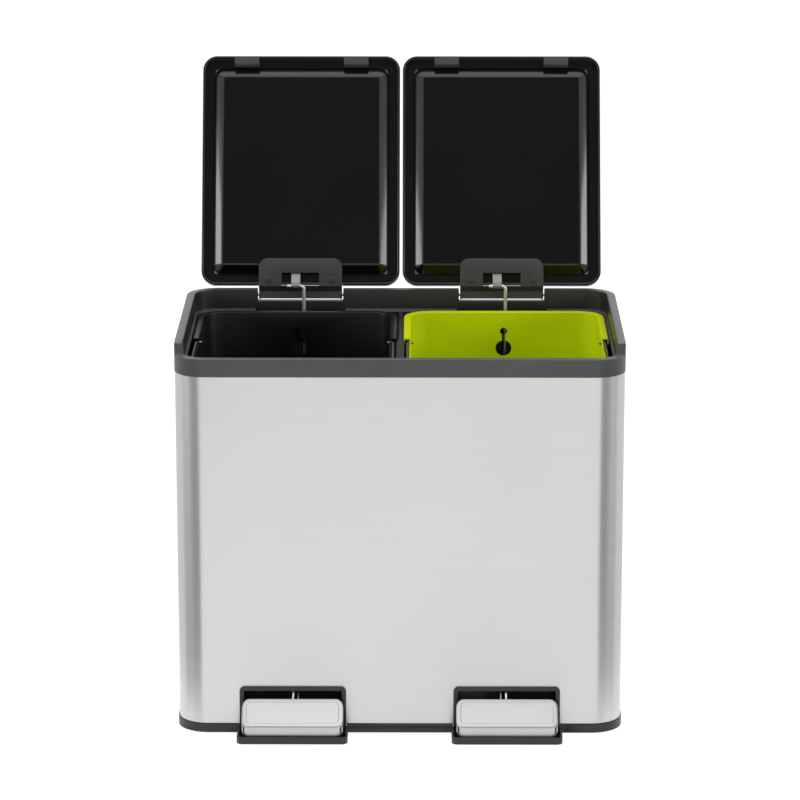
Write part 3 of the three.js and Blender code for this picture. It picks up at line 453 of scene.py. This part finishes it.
finishes = {
    "cabinet_steel": brushed_steel("cabinet_steel", 0.63, (16, 16, 2600), 0.36, 0.8, 0.25),
    "lid_steel": brushed_steel("lid_steel", 0.66, (16, 2600, 2600)),
    "pedal_steel": brushed_steel("pedal_steel", 0.5, (30, 2600, 2600), 0.36),
    "rim_plastic": moulded("rim_plastic", (0.082, 0.083, 0.084), 0.4),
    # Painted shade: a darker copy of the rim plastic for the rim's inner faces, standing for the shade
    # inside the rim.
    "rim_inside_painted_shade": moulded("rim_inside_painted_shade", (0.022, 0.022, 0.023), 0.3, spec=0.35),
    "base_plastic": moulded("base_plastic", (0.017, 0.017, 0.018), 0.4),
    "lid_plastic": moulded("lid_plastic", (0.007, 0.007, 0.0075), 0.12, 0.0008, 0.000004),
    "liner_plastic": polished("liner_plastic", (0.0045, 0.0045, 0.005, 1), 0.12),
    "hinge_paint": powder_coat("hinge_paint", 0.035),
    "zinc_steel": zinc("zinc_steel", 0.52, 0.72),
    # Painted shade: a darker zinc for the pedal levers and the bails, which sit in shade; the lids' straps
    # get it too.
    "darkened_zinc": zinc("darkened_zinc", 0.15, 0.25),
    # Painted shade: a dark steel for the inside of the steel sheet, standing for the shade inside the
    # cabinet.
    "steel_inside_painted_shade": brushed_steel("steel_inside_painted_shade", 0.1, (16, 16, 900), 0.6),
    "bucket_black": moulded("bucket_black", (0.007, 0.007, 0.0075), 0.3, spec=0.25),
    "bucket_lime": moulded("bucket_lime", (0.58, 0.7, 0.0), 0.45, spec=0.1, shade=0.05),
    "rubber": rubber("rubber"),
}
for part in frame["record"]["subparts"]:
    node = frame["nodes"][part["node"]]
    node.data.materials.clear()
    # Painted shade: the pedal levers, in shade in the tunnels, get the darker zinc.
    lever_in_shade = part["node"].startswith("pedal_lever")
    node.data.materials.append(finishes["darkened_zinc" if lever_in_shade else part["material_slot"]])


# ---- Cabinet ----
def steel_wrap():
    """One sheet of steel round the cabinet, cut out for the pedals, with a folded seam at the back."""
    wrap = sheet("steel_wrap", *WRAP, WRAP_LOW, WRAP_CORNER, segments=18)
    rise(WRAP_HEIGHT)
    remove(wrap, is_cap)
    half, high = PEDAL_HOLE_HALF, PEDAL_HOLE_TOP
    for side in SIDES.values():
        for edge in (-half, half):
            split(wrap, (side * PEDAL_X + edge, 0, 0), (1, 0, 0))
    split(wrap, (0, 0, high), (0, 0, 1))
    remove(wrap, lambda f: where(f).y < -180 and where(f).z < high
           and abs(abs(where(f).x) - PEDAL_X) < half)
    work(wrap, "SOLIDIFY", thickness=WRAP_THICKNESS, offset=-1)
    finished(wrap, "cabinet", "cabinet_steel", "body_shell")
    # Painted shade: the faces turned inwards get the dark steel of the cabinet's inside.
    second_finish(wrap, "steel_inside_painted_shade", lambda f: f.normal.x * where(f).x + f.normal.y * where(f).y < 0)
    seam = block("steel_seam", (-6, 180.3, 16), (6, 181.3, 483))
    soften(seam, lambda e: where(e).y > 181 and abs(where(e).x) > 5, 0.5)
    finished(seam, "cabinet", "cabinet_steel")


def rim():
    """The dark moulded rim: a wall, lower at the front, with a ledge inside it and two hinge notches."""
    piece = sheet("rim", *RIM, RIM_LOW, RIM_CORNER, segments=18)
    step_in(RIM_FOOT)
    rise(-RIM_SINK)
    bpy.ops.mesh.delete(type="ONLY_FACE")
    pick(piece, lambda e: is_open(e) and where(e).z > RIM_LOW - 1, "EDGE")
    bpy.ops.mesh.extrude_edges_move(TRANSFORM_OT_translate={"value": (0, 0, RIM_TOP - RIM_LOW)})
    bpy.ops.mesh.edge_face_add()
    pick(piece, lambda f: where(f).z > RIM_TOP - 1 and f.calc_area() > 1000)
    step_in(RIM_WALL)
    rise(LEDGE - RIM_TOP)
    step_in(LEDGE_SIDE)
    inner = {v.index for v in bmesh.from_edit_mesh(piece.data).verts if v.select}
    pick(piece, lambda v: v.index in inner and v.co.y < 0, "VERT")
    shift(y=LEDGE_FRONT)
    pick(piece, lambda v: v.index in inner and v.co.y > 0, "VERT")
    shift(y=-LEDGE_BACK)
    pick(piece, lambda f: is_cap(f) and abs(where(f).z - LEDGE) < 0.1)
    rise(LEDGE_SKIRT - LEDGE)
    bpy.ops.mesh.delete(type="ONLY_FACE")
    pick(piece, is_open, "EDGE")
    bpy.ops.mesh.bridge_edge_loops()
    wall_step, ledge_step = (-150, -146), (-152.4, -151.4)
    for y in wall_step:
        split(piece, (0, y, 0), (0, 1, 0))
    pick(piece, lambda v: v.co.z > RIM_TOP - 0.1 and v.co.y < wall_step[0] + 0.1, "VERT")
    shift(z=-FRONT_DROP)
    for y in ledge_step:
        split(piece, (0, y, 0), (0, 1, 0))
    pick(piece, lambda v: abs(v.co.z - LEDGE) < 0.1 and v.co.y < ledge_step[0] + 0.1, "VERT")
    shift(z=FRONT_LEDGE_RISE)
    tidy(piece)
    for side in SIDES.values():
        x = side * LID_X
        # A notch in the wall for the hinge plate, and a slot through the ledge for the rod
        carve(piece,
              block("notch", (x - NOTCH_HALF, 157, NOTCH_LOW), (x + NOTCH_HALF, 190, 530)),
              block("slot", (x - 62, 140, 450), (x + 62, 169.5, 497.5)))
    sharp = math.radians(50)
    soften(piece, lambda e: where(e).z > 505 and bends(e, sharp) and e.calc_length() > 0.9, 1.3)
    finished(piece, "cabinet", "rim_plastic", "top_rim")
    # Painted shade: the inner faces below the rim's top get the darker plastic.
    second_finish(piece, "rim_inside_painted_shade", lambda f: where(f).z < (RIM_TOP - 0.9) * MM and abs(f.normal.z) < 0.6
                  and f.normal.x * where(f).x + f.normal.y * where(f).y < 0)


def base():
    """The black base: a plinth round the foot of the steel, the deck and the feet."""
    finished(node_copy("base_pan", "base", 0.3), "cabinet", "base_plastic", "base_pan")
    bar = node_copy("centre_bar", "bucket_divider", 0.8, 3)
    finished(bar, "cabinet", "base_plastic", "centre_bar")
    for name in ("front_left", "front_right", "rear_left", "rear_right", "centre"):
        node = "foot_" + name
        finished(node_copy(node, node + "_pad", 0.4), "cabinet", "rubber", node)


def pedal_housings():
    """The housings round the pedals, each with a thin wall at its back and a slot there for the lever. The
    wall is not in the imported housing: it is a dark sheet of painted shade, standing for the shade inside
    the base, and it hides the glowing floor behind.
    """
    half, front, back, low, high = 65, -147.4, -146.2, 14, 62
    slot_half, sill, lintel = 4.5, 16, 58
    for name, side in SIDES.items():
        piece = node_copy(f"pedal_housing_{name}", f"pedal_bezel_{name}", 0.9, 3)
        finished(piece, "cabinet", "base_plastic", f"pedal_housing_{name}")
        x, lever_x = side * PEDAL_X, side * (PEDAL_X - 2.45) - 0.6
        # Painted shade: a dark wall closes the back of the tunnel, where there is only shade.
        wall = block("pedal_shade_wall", (x - half, front, low), (x + half, back, high))
        carve(wall, block("slot", (lever_x - slot_half, -150, sill), (lever_x + slot_half, -140, lintel)))
        soften(wall, lambda e: e.calc_length() > 40 and where(e).y < front + 0.4, 0.3, 1)
        finished(wall, "cabinet", "base_plastic").name = f"pedal_shade_wall_{name}"


# ---- Pedals ----
def pedals():
    """A pressed steel pad with a raised border over each pedal's core."""
    half, front, back, low, high = 67, -222.5, -187, 37.3, 50.3
    slope = (back - front) * math.tan(math.radians(PAD_TILT))
    pad = block("pedal_pad", (-half, front, low), (half, back, high))
    pick(pad, lambda v: v.co.y < front + 0.5, "VERT")
    shift(z=-slope)
    soften(pad, lambda e: abs(where(e).x) > half - 1 and abs(e.verts[0].co.y - e.verts[1].co.y) < 1, 10, 9)
    remove(pad, lambda f: f.normal.z < -0.5)
    soften(pad, lambda e: bends(e, 0.4) and max(f.normal.z for f in e.link_faces) > 0.5, 1.8, 4)
    pick(pad, lambda f: f.normal.z > 0.5 and f.calc_area() > 1000)
    step_in(4.0)
    step_in(0.8, -0.7)
    work(pad, "SOLIDIFY", thickness=1.2, offset=-1)
    for name, side in SIDES.items():
        twin = copied(pad, f"pedal_pad_{name}", side * PEDAL_X)
        finished(twin, f"pedal_{name}", "pedal_steel", f"pedal_cover_{name}", smooth=40)
    bpy.data.objects.remove(pad)


# ---- Bent bars ----
def bent_bar(name, radius, start, heading, moves, sides=16):
    """A bar from a start and a heading: a number runs straight, and a pair turns 90 degrees on a radius."""
    alone(None)
    at, heading = Vector(start), Vector(heading)
    bpy.ops.mesh.primitive_circle_add(vertices=sides, radius=radius, fill_type="NGON", location=at)
    bpy.context.object.rotation_euler = heading.to_track_quat("Z", "Y").to_euler()
    piece = begun(name)
    bpy.ops.object.mode_set(mode="EDIT")
    bpy.ops.mesh.select_mode(type="FACE")
    bpy.ops.mesh.select_all(action="SELECT")
    for move in moves:
        if isinstance(move, tuple):
            to, bend = Vector(move[0]), move[1]
            bpy.ops.mesh.spin(steps=8, angle=math.radians(90), center=at + to * bend,
                              axis=to.cross(heading))
            at, heading = at + (heading + to) * bend, to
        else:
            bpy.ops.mesh.extrude_region_move(TRANSFORM_OT_translate={"value": heading * move})
            at = at + heading * move
    pick(piece, is_open, "EDGE")
    bpy.ops.mesh.edge_face_add()
    tidy(piece)
    return piece


LEFT, RIGHT = (-1, 0, 0), (1, 0, 0)
TO_FRONT, TO_BACK = (0, -1, 0), (0, 1, 0)
DOWN = (0, 0, -1)


def rods():
    """The lifting rods, hooked into the lid's eye above and the lever below."""
    hook, turn = 23, 4.5
    for name, side in SIDES.items():
        x = side * LID_X + 5
        rod = bent_bar("rod", 2.5, (x - hook, ROD_Y, ROD_TOP), RIGHT, [
            hook - turn, (DOWN, turn), ROD_TOP - ROD_LOW - 2 * turn, (LEFT, turn), 6.1])
        soften(rod, lambda e: bends(e, 1.2), 0.6, 2)
        finished(rod, f"rod_{name}", "zinc_steel", f"lift_rod_{name}").name = f"rod_{name}"


def bails():
    """The wire handles, lying round the front half of each bucket."""
    reach, hook, turn = 131.6, 5, 20
    y, z, front = BAIL_Y, BAIL_Z, -149.5
    for name, side in SIDES.items():
        x = side * BUCKET_X
        wire = bent_bar("bail", 2, (x - 129 + hook, y, z), LEFT, [
            reach - 129 + hook - 4, (TO_FRONT, 4), y - front - 4 - turn, (RIGHT, turn),
            2 * (reach - turn), (TO_BACK, turn), y - front - 4 - turn, (LEFT, 4),
            reach - 129 + hook - 4])
        finished(wire, f"bail_{name}", "zinc_steel", f"bail_handle_{name}").name = f"bail_{name}"
        # Painted shade: the wire sits in shade between tub and rim and gets the darker zinc.
        wire.data.materials[0] = finishes["darkened_zinc"]


# ---- Buckets ----
def buckets():
    """A tapered tub with a flange round its back half, a keyhole for the bag and holes for the bail."""
    y, top, under, end = -3.15, 498.5, 55.8, -17
    flange, thickness, taper = 8, 2, 9
    tub = sheet("tub", 258 + 2 * flange, 287.5 + 2 * flange, top - flange, 36, -BUCKET_X, y, 14)
    rise(flange)
    step_in(flange + thickness)
    step_in(taper, under - top)
    remove(tub, lambda f: is_cap(f) and where(f).z > 60)
    soften(tub, lambda e: where(e).z < under + 0.2, 9, 5)
    soften(tub, lambda e: where(e).z > top - 1 and bends(e, 1), 1.6)
    split(tub, (0, end, 0), (0, 1, 0))

    def outside_wall(f):
        """True for a face outside the wall's outline, which has rounded corners."""
        across, ahead = abs(where(f).x + BUCKET_X), y - where(f).y
        corner = math.hypot(max(0, across - 101), max(0, ahead - 115.75))
        return across > 127.5 or ahead > 142.2 or corner > 26.5

    remove(tub, lambda f: where(f).z > top - flange - 1 and where(f).y < end and outside_wall(f))
    work(tub, "SOLIDIFY", thickness=thickness, offset=-1)
    x = -BUCKET_X
    carve(tub,
          round_bar("hole", 5, (x, 120, HOLE_HIGH), (x, 160, HOLE_HIGH), 32),
          round_bar("hole", 11, (x, 120, HOLE_LOW), (x, 160, HOLE_LOW), 40),
          block("hole", (x - 2.25, 120, HOLE_LOW), (x + 2.25, 160, HOLE_HIGH)),
          round_bar("hole", 2.3, (x - 140, BAIL_Y, BAIL_Z), (x + 140, BAIL_Y, BAIL_Z), 20))
    for name, side in SIDES.items():
        twin = copied(tub, f"tub_{name}", (side + 1) * BUCKET_X)
        slot = "bucket_black" if side < 0 else "bucket_lime"
        finished(twin, f"bucket_body_{name}", slot, f"bucket_{name}", smooth=40)
    bpy.data.objects.remove(tub)


# ---- Lids, drawn shut with the hinge pins as the X axis ----
LID = (274.3, 323)
LID_Y = -12 - LID[1] / 2
LIP, LID_RISE = -10.5, 4.5
SCREW_X, SCREW_Y = 44, -18.5
PLATE, PLATE_GAP = 1.6, 0.3


def lid_frame():
    """The lid's moulding: a thin lip, a groove inside it, and a flange under the liner."""
    piece = sheet("lid_frame", *LID, LIP, 20, y=LID_Y, segments=12)
    lip, groove, border, recess = 3.5, 13.5, 2.2, 1.5
    step_in(lip)
    rise(-LIP)
    step_in(groove)
    bpy.ops.mesh.delete(type="ONLY_FACE")
    pick(piece, lambda e: is_open(e) and where(e).z < LIP + 1, "EDGE")
    bpy.ops.mesh.extrude_edges_move(TRANSFORM_OT_translate={"value": (0, 0, LID_RISE - LIP)})
    bpy.ops.mesh.edge_face_add()
    pick(piece, lambda f: where(f).z > LID_RISE - 0.1 and f.calc_area() > 1000)
    step_in(border)
    rise(-recess)
    step_in(lip + groove - border)
    bpy.ops.mesh.delete(type="ONLY_FACE")
    pick(piece, is_open, "EDGE")
    bpy.ops.mesh.bridge_edge_loops()
    tidy(piece)
    soften(piece, lambda e: bends(e, 1) and not LIP + 0.1 <= where(e).z <= LID_RISE - 0.1, 1.5, 4)
    posts = [round_bar("post", 4.7, (x, SCREW_Y, LIP), (x, SCREW_Y, 0.5), 24) for x in (-SCREW_X, SCREW_X)]
    return one("lid_frame", piece, *posts)


def lid_liner():
    """The polished liner: a flat plateau with sloping sides."""
    start, skirt, slope = -0.3, 2, 13.5
    piece = sheet("lid_liner", LID[0] - 30, LID[1] - 30, start, 16, y=LID_Y, segments=12)
    rise(-skirt)
    step_in(slope, LIP - (start - skirt))
    remove(piece, lambda f: is_cap(f) and where(f).z > -1)
    soften(piece, lambda e: bends(e, 0.3) and where(e).z < LIP + 0.2, 2.2, 5)
    soften(piece, lambda e: bends(e, 0.3) and where(e).z > -3
           and abs(e.verts[0].co.z - e.verts[1].co.z) < 0.2, 0.8, 3)
    work(piece, "SOLIDIFY", thickness=1.6, offset=1)
    return piece


def lid_panel():
    """The lid's steel top, pressed to a low crown."""
    piece = sheet("lid_panel", LID[0] - 5, LID[1] - 5, 3.3, 17.5, y=LID_Y, segments=12)
    rise(1.0)
    steps, run, height = 8, 1.9, 2.2
    crown = [math.sin(math.radians(90 * i / steps)) for i in range(steps + 1)]
    for low, high in zip(crown, crown[1:]):
        step_in(run, height * (high - low))
    pick(piece, is_open, "EDGE")
    bpy.ops.mesh.edge_face_add()
    return tidy(piece)


def hinge_plate():
    """A pressed plate with a stepped tail, a window for the strap, and an ear at each pin."""
    piece = sheet("hinge_plate", 115, 55, -12.4, 0, y=-21.5)
    pick(piece, lambda v: v.co.y < -40, "VERT")
    bpy.ops.mesh.bevel(offset=12.5, segments=10, affect="VERTICES")
    far, near, half = -28.7, -10, 26
    bend, tail, drop = -7.6, -4, 7.8
    for y in (far, near, bend, tail):
        split(piece, (0, y, 0), (0, 1, 0))
    for x in (-half, half):
        split(piece, (x, 0, 0), (1, 0, 0))
    pick(piece, lambda v: v.co.y > tail - 0.1, "VERT")
    shift(z=drop)
    pick(piece, lambda v: abs(v.co.y - bend) < 0.1, "VERT")
    shift(z=drop * (bend - near) / (tail - near))
    remove(piece, lambda f: abs(where(f).x) < half and far < where(f).y < near)
    work(piece, "SOLIDIFY", thickness=PLATE, offset=1)
    work(piece, "BEVEL", width=0.35, segments=2, limit_method="ANGLE", angle_limit=math.radians(50))
    ears = []
    for hand in (-1, 1):
        inner, outer = hand * 54.5, hand * 57.5
        ears.append(round_bar("ear", 5.6, (inner, 0, 0), (outer, 0, 0), 28))
        low, high = sorted((inner, outer))
        ears.append(block("web", (low, -6, -3.8), (high, 6, 0)))
    return one("hinge_plate", piece, *ears)


def hinge_screw():
    """A pan-head screw with a cross recess."""
    y, under = SCREW_Y, LIP - PLATE_GAP - PLATE - PLATE_GAP
    long, short = 2.2, 0.4
    head = round_bar("hinge_screw", 4, (0, y, under - 1.6), (0, y, under), 32)
    soften(head, lambda e: where(e).z < under - 1.5 and bends(e, 1), 0.9, 4)
    carve(head,
          block("cross", (-long, y - short, under - 3), (long, y + short, under - 0.8)),
          block("cross", (-short, y - long, under - 3), (short, y + long, under - 0.8)))
    shank = round_bar("shank", 1.9, (0, y, under - 0.5), (0, y, under + 9), 16)
    return one("hinge_screw", head, shank)


def lids():
    frame_part, liner, panel, plate, screw = (
        lid_frame(), lid_liner(), lid_panel(), hinge_plate(), hinge_screw())
    for name, side in SIDES.items():
        body = f"lid_{name}"
        for model, slot, node, smooth in (
                (frame_part, "lid_plastic", "lid_frame", SMOOTH), (liner, "liner_plastic", "lid_liner", 50),
                (panel, "lid_steel", "lid_panel", SMOOTH), (plate, "hinge_paint", "hinge_plate", SMOOTH)):
            twin = hung(copied(model, f"{node}_piece_{name}"), side)
            finished(twin, body, slot, f"{node}_{name}", smooth=smooth)
        for hand, way in SIDES.items():
            twin = hung(copied(screw, f"screw_{name}_{hand}", way * SCREW_X), side)
            finished(twin, body, "hinge_paint", f"hinge_screw_{name}_{hand}")
            bumper = f"lid_bumper_{name}_{hand}"
            finished(node_copy(bumper, f"bumper_{name}_{hand}", 0.8, 3), body, "rubber", bumper)
        strap = node_copy(f"lift_eye_{name}", f"strap_{name}", 0.35)
        finished(strap, body, "zinc_steel", f"lift_eye_{name}")
        # The strap gets the same darker zinc.
        strap.data.materials[0] = finishes["darkened_zinc"]
    for model in (frame_part, liner, panel, plate, screw):
        bpy.data.objects.remove(model)


steel_wrap()
rim()
base()
pedal_housings()
pedals()
rods()
bails()
buckets()
lids()


# ---- Studio, in metres ----
CAMERA, AIM, LENS = (0.0245, -4.8938, 1.6693), (-0.0006, 0, 0.4093), 168.9
FLOOR_GLOW, ROOM = 0.74, 0.45


def camera():
    """The photo's view."""
    alone(None)
    bpy.ops.object.camera_add(location=CAMERA)
    view = bpy.context.object
    aim = Vector(AIM) - view.location
    view.rotation_euler = aim.to_track_quat("-Z", "Y").to_euler()
    view.data.lens = LENS
    view.data.sensor_width = 36
    view.data.clip_end = 50
    bpy.context.scene.camera = view


def lamp(name, place, aim, width, height, power):
    alone(None)
    bpy.ops.object.light_add(type="AREA", location=place)
    light = bpy.context.object
    light.name = name
    light.rotation_euler = (Vector(aim) - Vector(place)).to_track_quat("-Z", "Y").to_euler()
    light.data.shape = "RECTANGLE"
    light.data.size, light.data.size_y = width, height
    light.data.energy = power


def shown(finish):
    """1 for what the camera sees, directly, in a mirror or through glass, and 0 for the light that falls."""
    rays = [finish.node("ShaderNodeLightPath", {}, {}, ray)
            for ray in ("Is Camera Ray", "Is Glossy Ray", "Is Transmission Ray")]
    return (rays[0] + rays[1] + rays[2]).over(0.5)


def floor():
    """A pale floor that glows white to the camera and in mirrors, over its own light and shadow."""
    alone(None)
    bpy.ops.mesh.primitive_plane_add(size=24, location=(0, 0, 0))
    ground = begun("floor")
    finish = Finish("studio_floor", Roughness=0.9, Specular_IOR_Level=0.1, Emission_Strength=1.0)
    haze = finish.noise(finish.place(), 0.8, 2.0, 0.5)
    finish.colour(finish.blend(haze, grey(0.58), grey(0.62)))
    glow = finish.blend(shown(finish), grey(0), grey(FLOOR_GLOW))
    finish.feed(finish.shader.inputs["Emission Color"], glow)
    ground.data.materials.append(finish.material)


def board_at(name, start, end, low, high, level):
    """An upright board that glows at one brightness, from start to end, and that only mirror reflections
    see: a painted reflection.
    """
    board = block(name, (0, -0.01, low), (1, 0.01, high))
    along = Vector(end) - Vector(start)
    board.scale = (along.length, 1, 1)
    board.rotation_euler = (0, 0, math.atan2(along.y, along.x))
    board.location = (start[0], start[1], 0)
    bpy.ops.object.transform_apply(location=True, rotation=True, scale=True)
    board.visible_camera = False
    board.visible_diffuse = False
    board.visible_shadow = False
    # The board glows with its own light and paints reflections only.
    finish = Finish("reflection_board_glow", Roughness=0.9, Specular_IOR_Level=0.1, Emission_Strength=1.0,
                    Emission_Color=grey(level))
    weave = finish.noise(finish.place(), 300.0, 2.0, 0.5)
    finish.colour(finish.blend(weave, grey(0.02), grey(0.04)))
    board.data.materials.append(finish.material)


def world():
    """White behind the object and in what it mirrors, and a dim grey room for the light it gives."""
    room = bpy.data.worlds.new("room")
    bpy.context.scene.world = room
    room.use_nodes = True
    tree = room.node_tree
    path = tree.nodes.new("ShaderNodeLightPath")
    level = ROOM
    for ray in ("Is Camera Ray", "Is Glossy Ray", "Is Transmission Ray"):
        mix = tree.nodes.new("ShaderNodeMix")
        mix.data_type = "RGBA"
        mix.inputs[6].default_value = grey(ROOM)
        mix.inputs[7].default_value = (1, 1, 1, 1)
        tree.links.new(path.outputs[ray], mix.inputs["Factor"])
        if level is not ROOM:
            tree.links.new(level, mix.inputs[6])
        level = mix.outputs[2]
    tree.links.new(level, tree.nodes["Background"].inputs["Color"])


bpy.context.scene.view_settings.view_transform = "Standard"
camera()
floor()
world()
for hand, side in SIDES.items():
    lamp(f"side_{hand}", (side * 2.2, -0.6, 1.18), (0, 0.2, 0.8), 1.1, 0.42, 11)
    # Painted reflections: dim glowing boards give the dark bands near the steel's front corners, and pale
    # ones beside the cabinet its bright edges.
    board_at(f"panel_{hand}", (side * 0.338, -0.321), (side * 0.453, -0.157), 0, 0.6, 0.38)
    board_at(f"pale_panel_{hand}", (side * 0.46, -0.15), (side * 0.5, 0.45), 0, 0.6, 0.85)
# Painted reflection: a dim glowing board high in front darkens what the lid liners mirror.
board_at("panel_high", (-1.7, -2.6), (1.7, -2.6), 1.5, 4.0, 0.12)
lamp("overhead", (0, 0.3, 3.2), (0, 0.3, 0), 5.0, 4.0, 60)
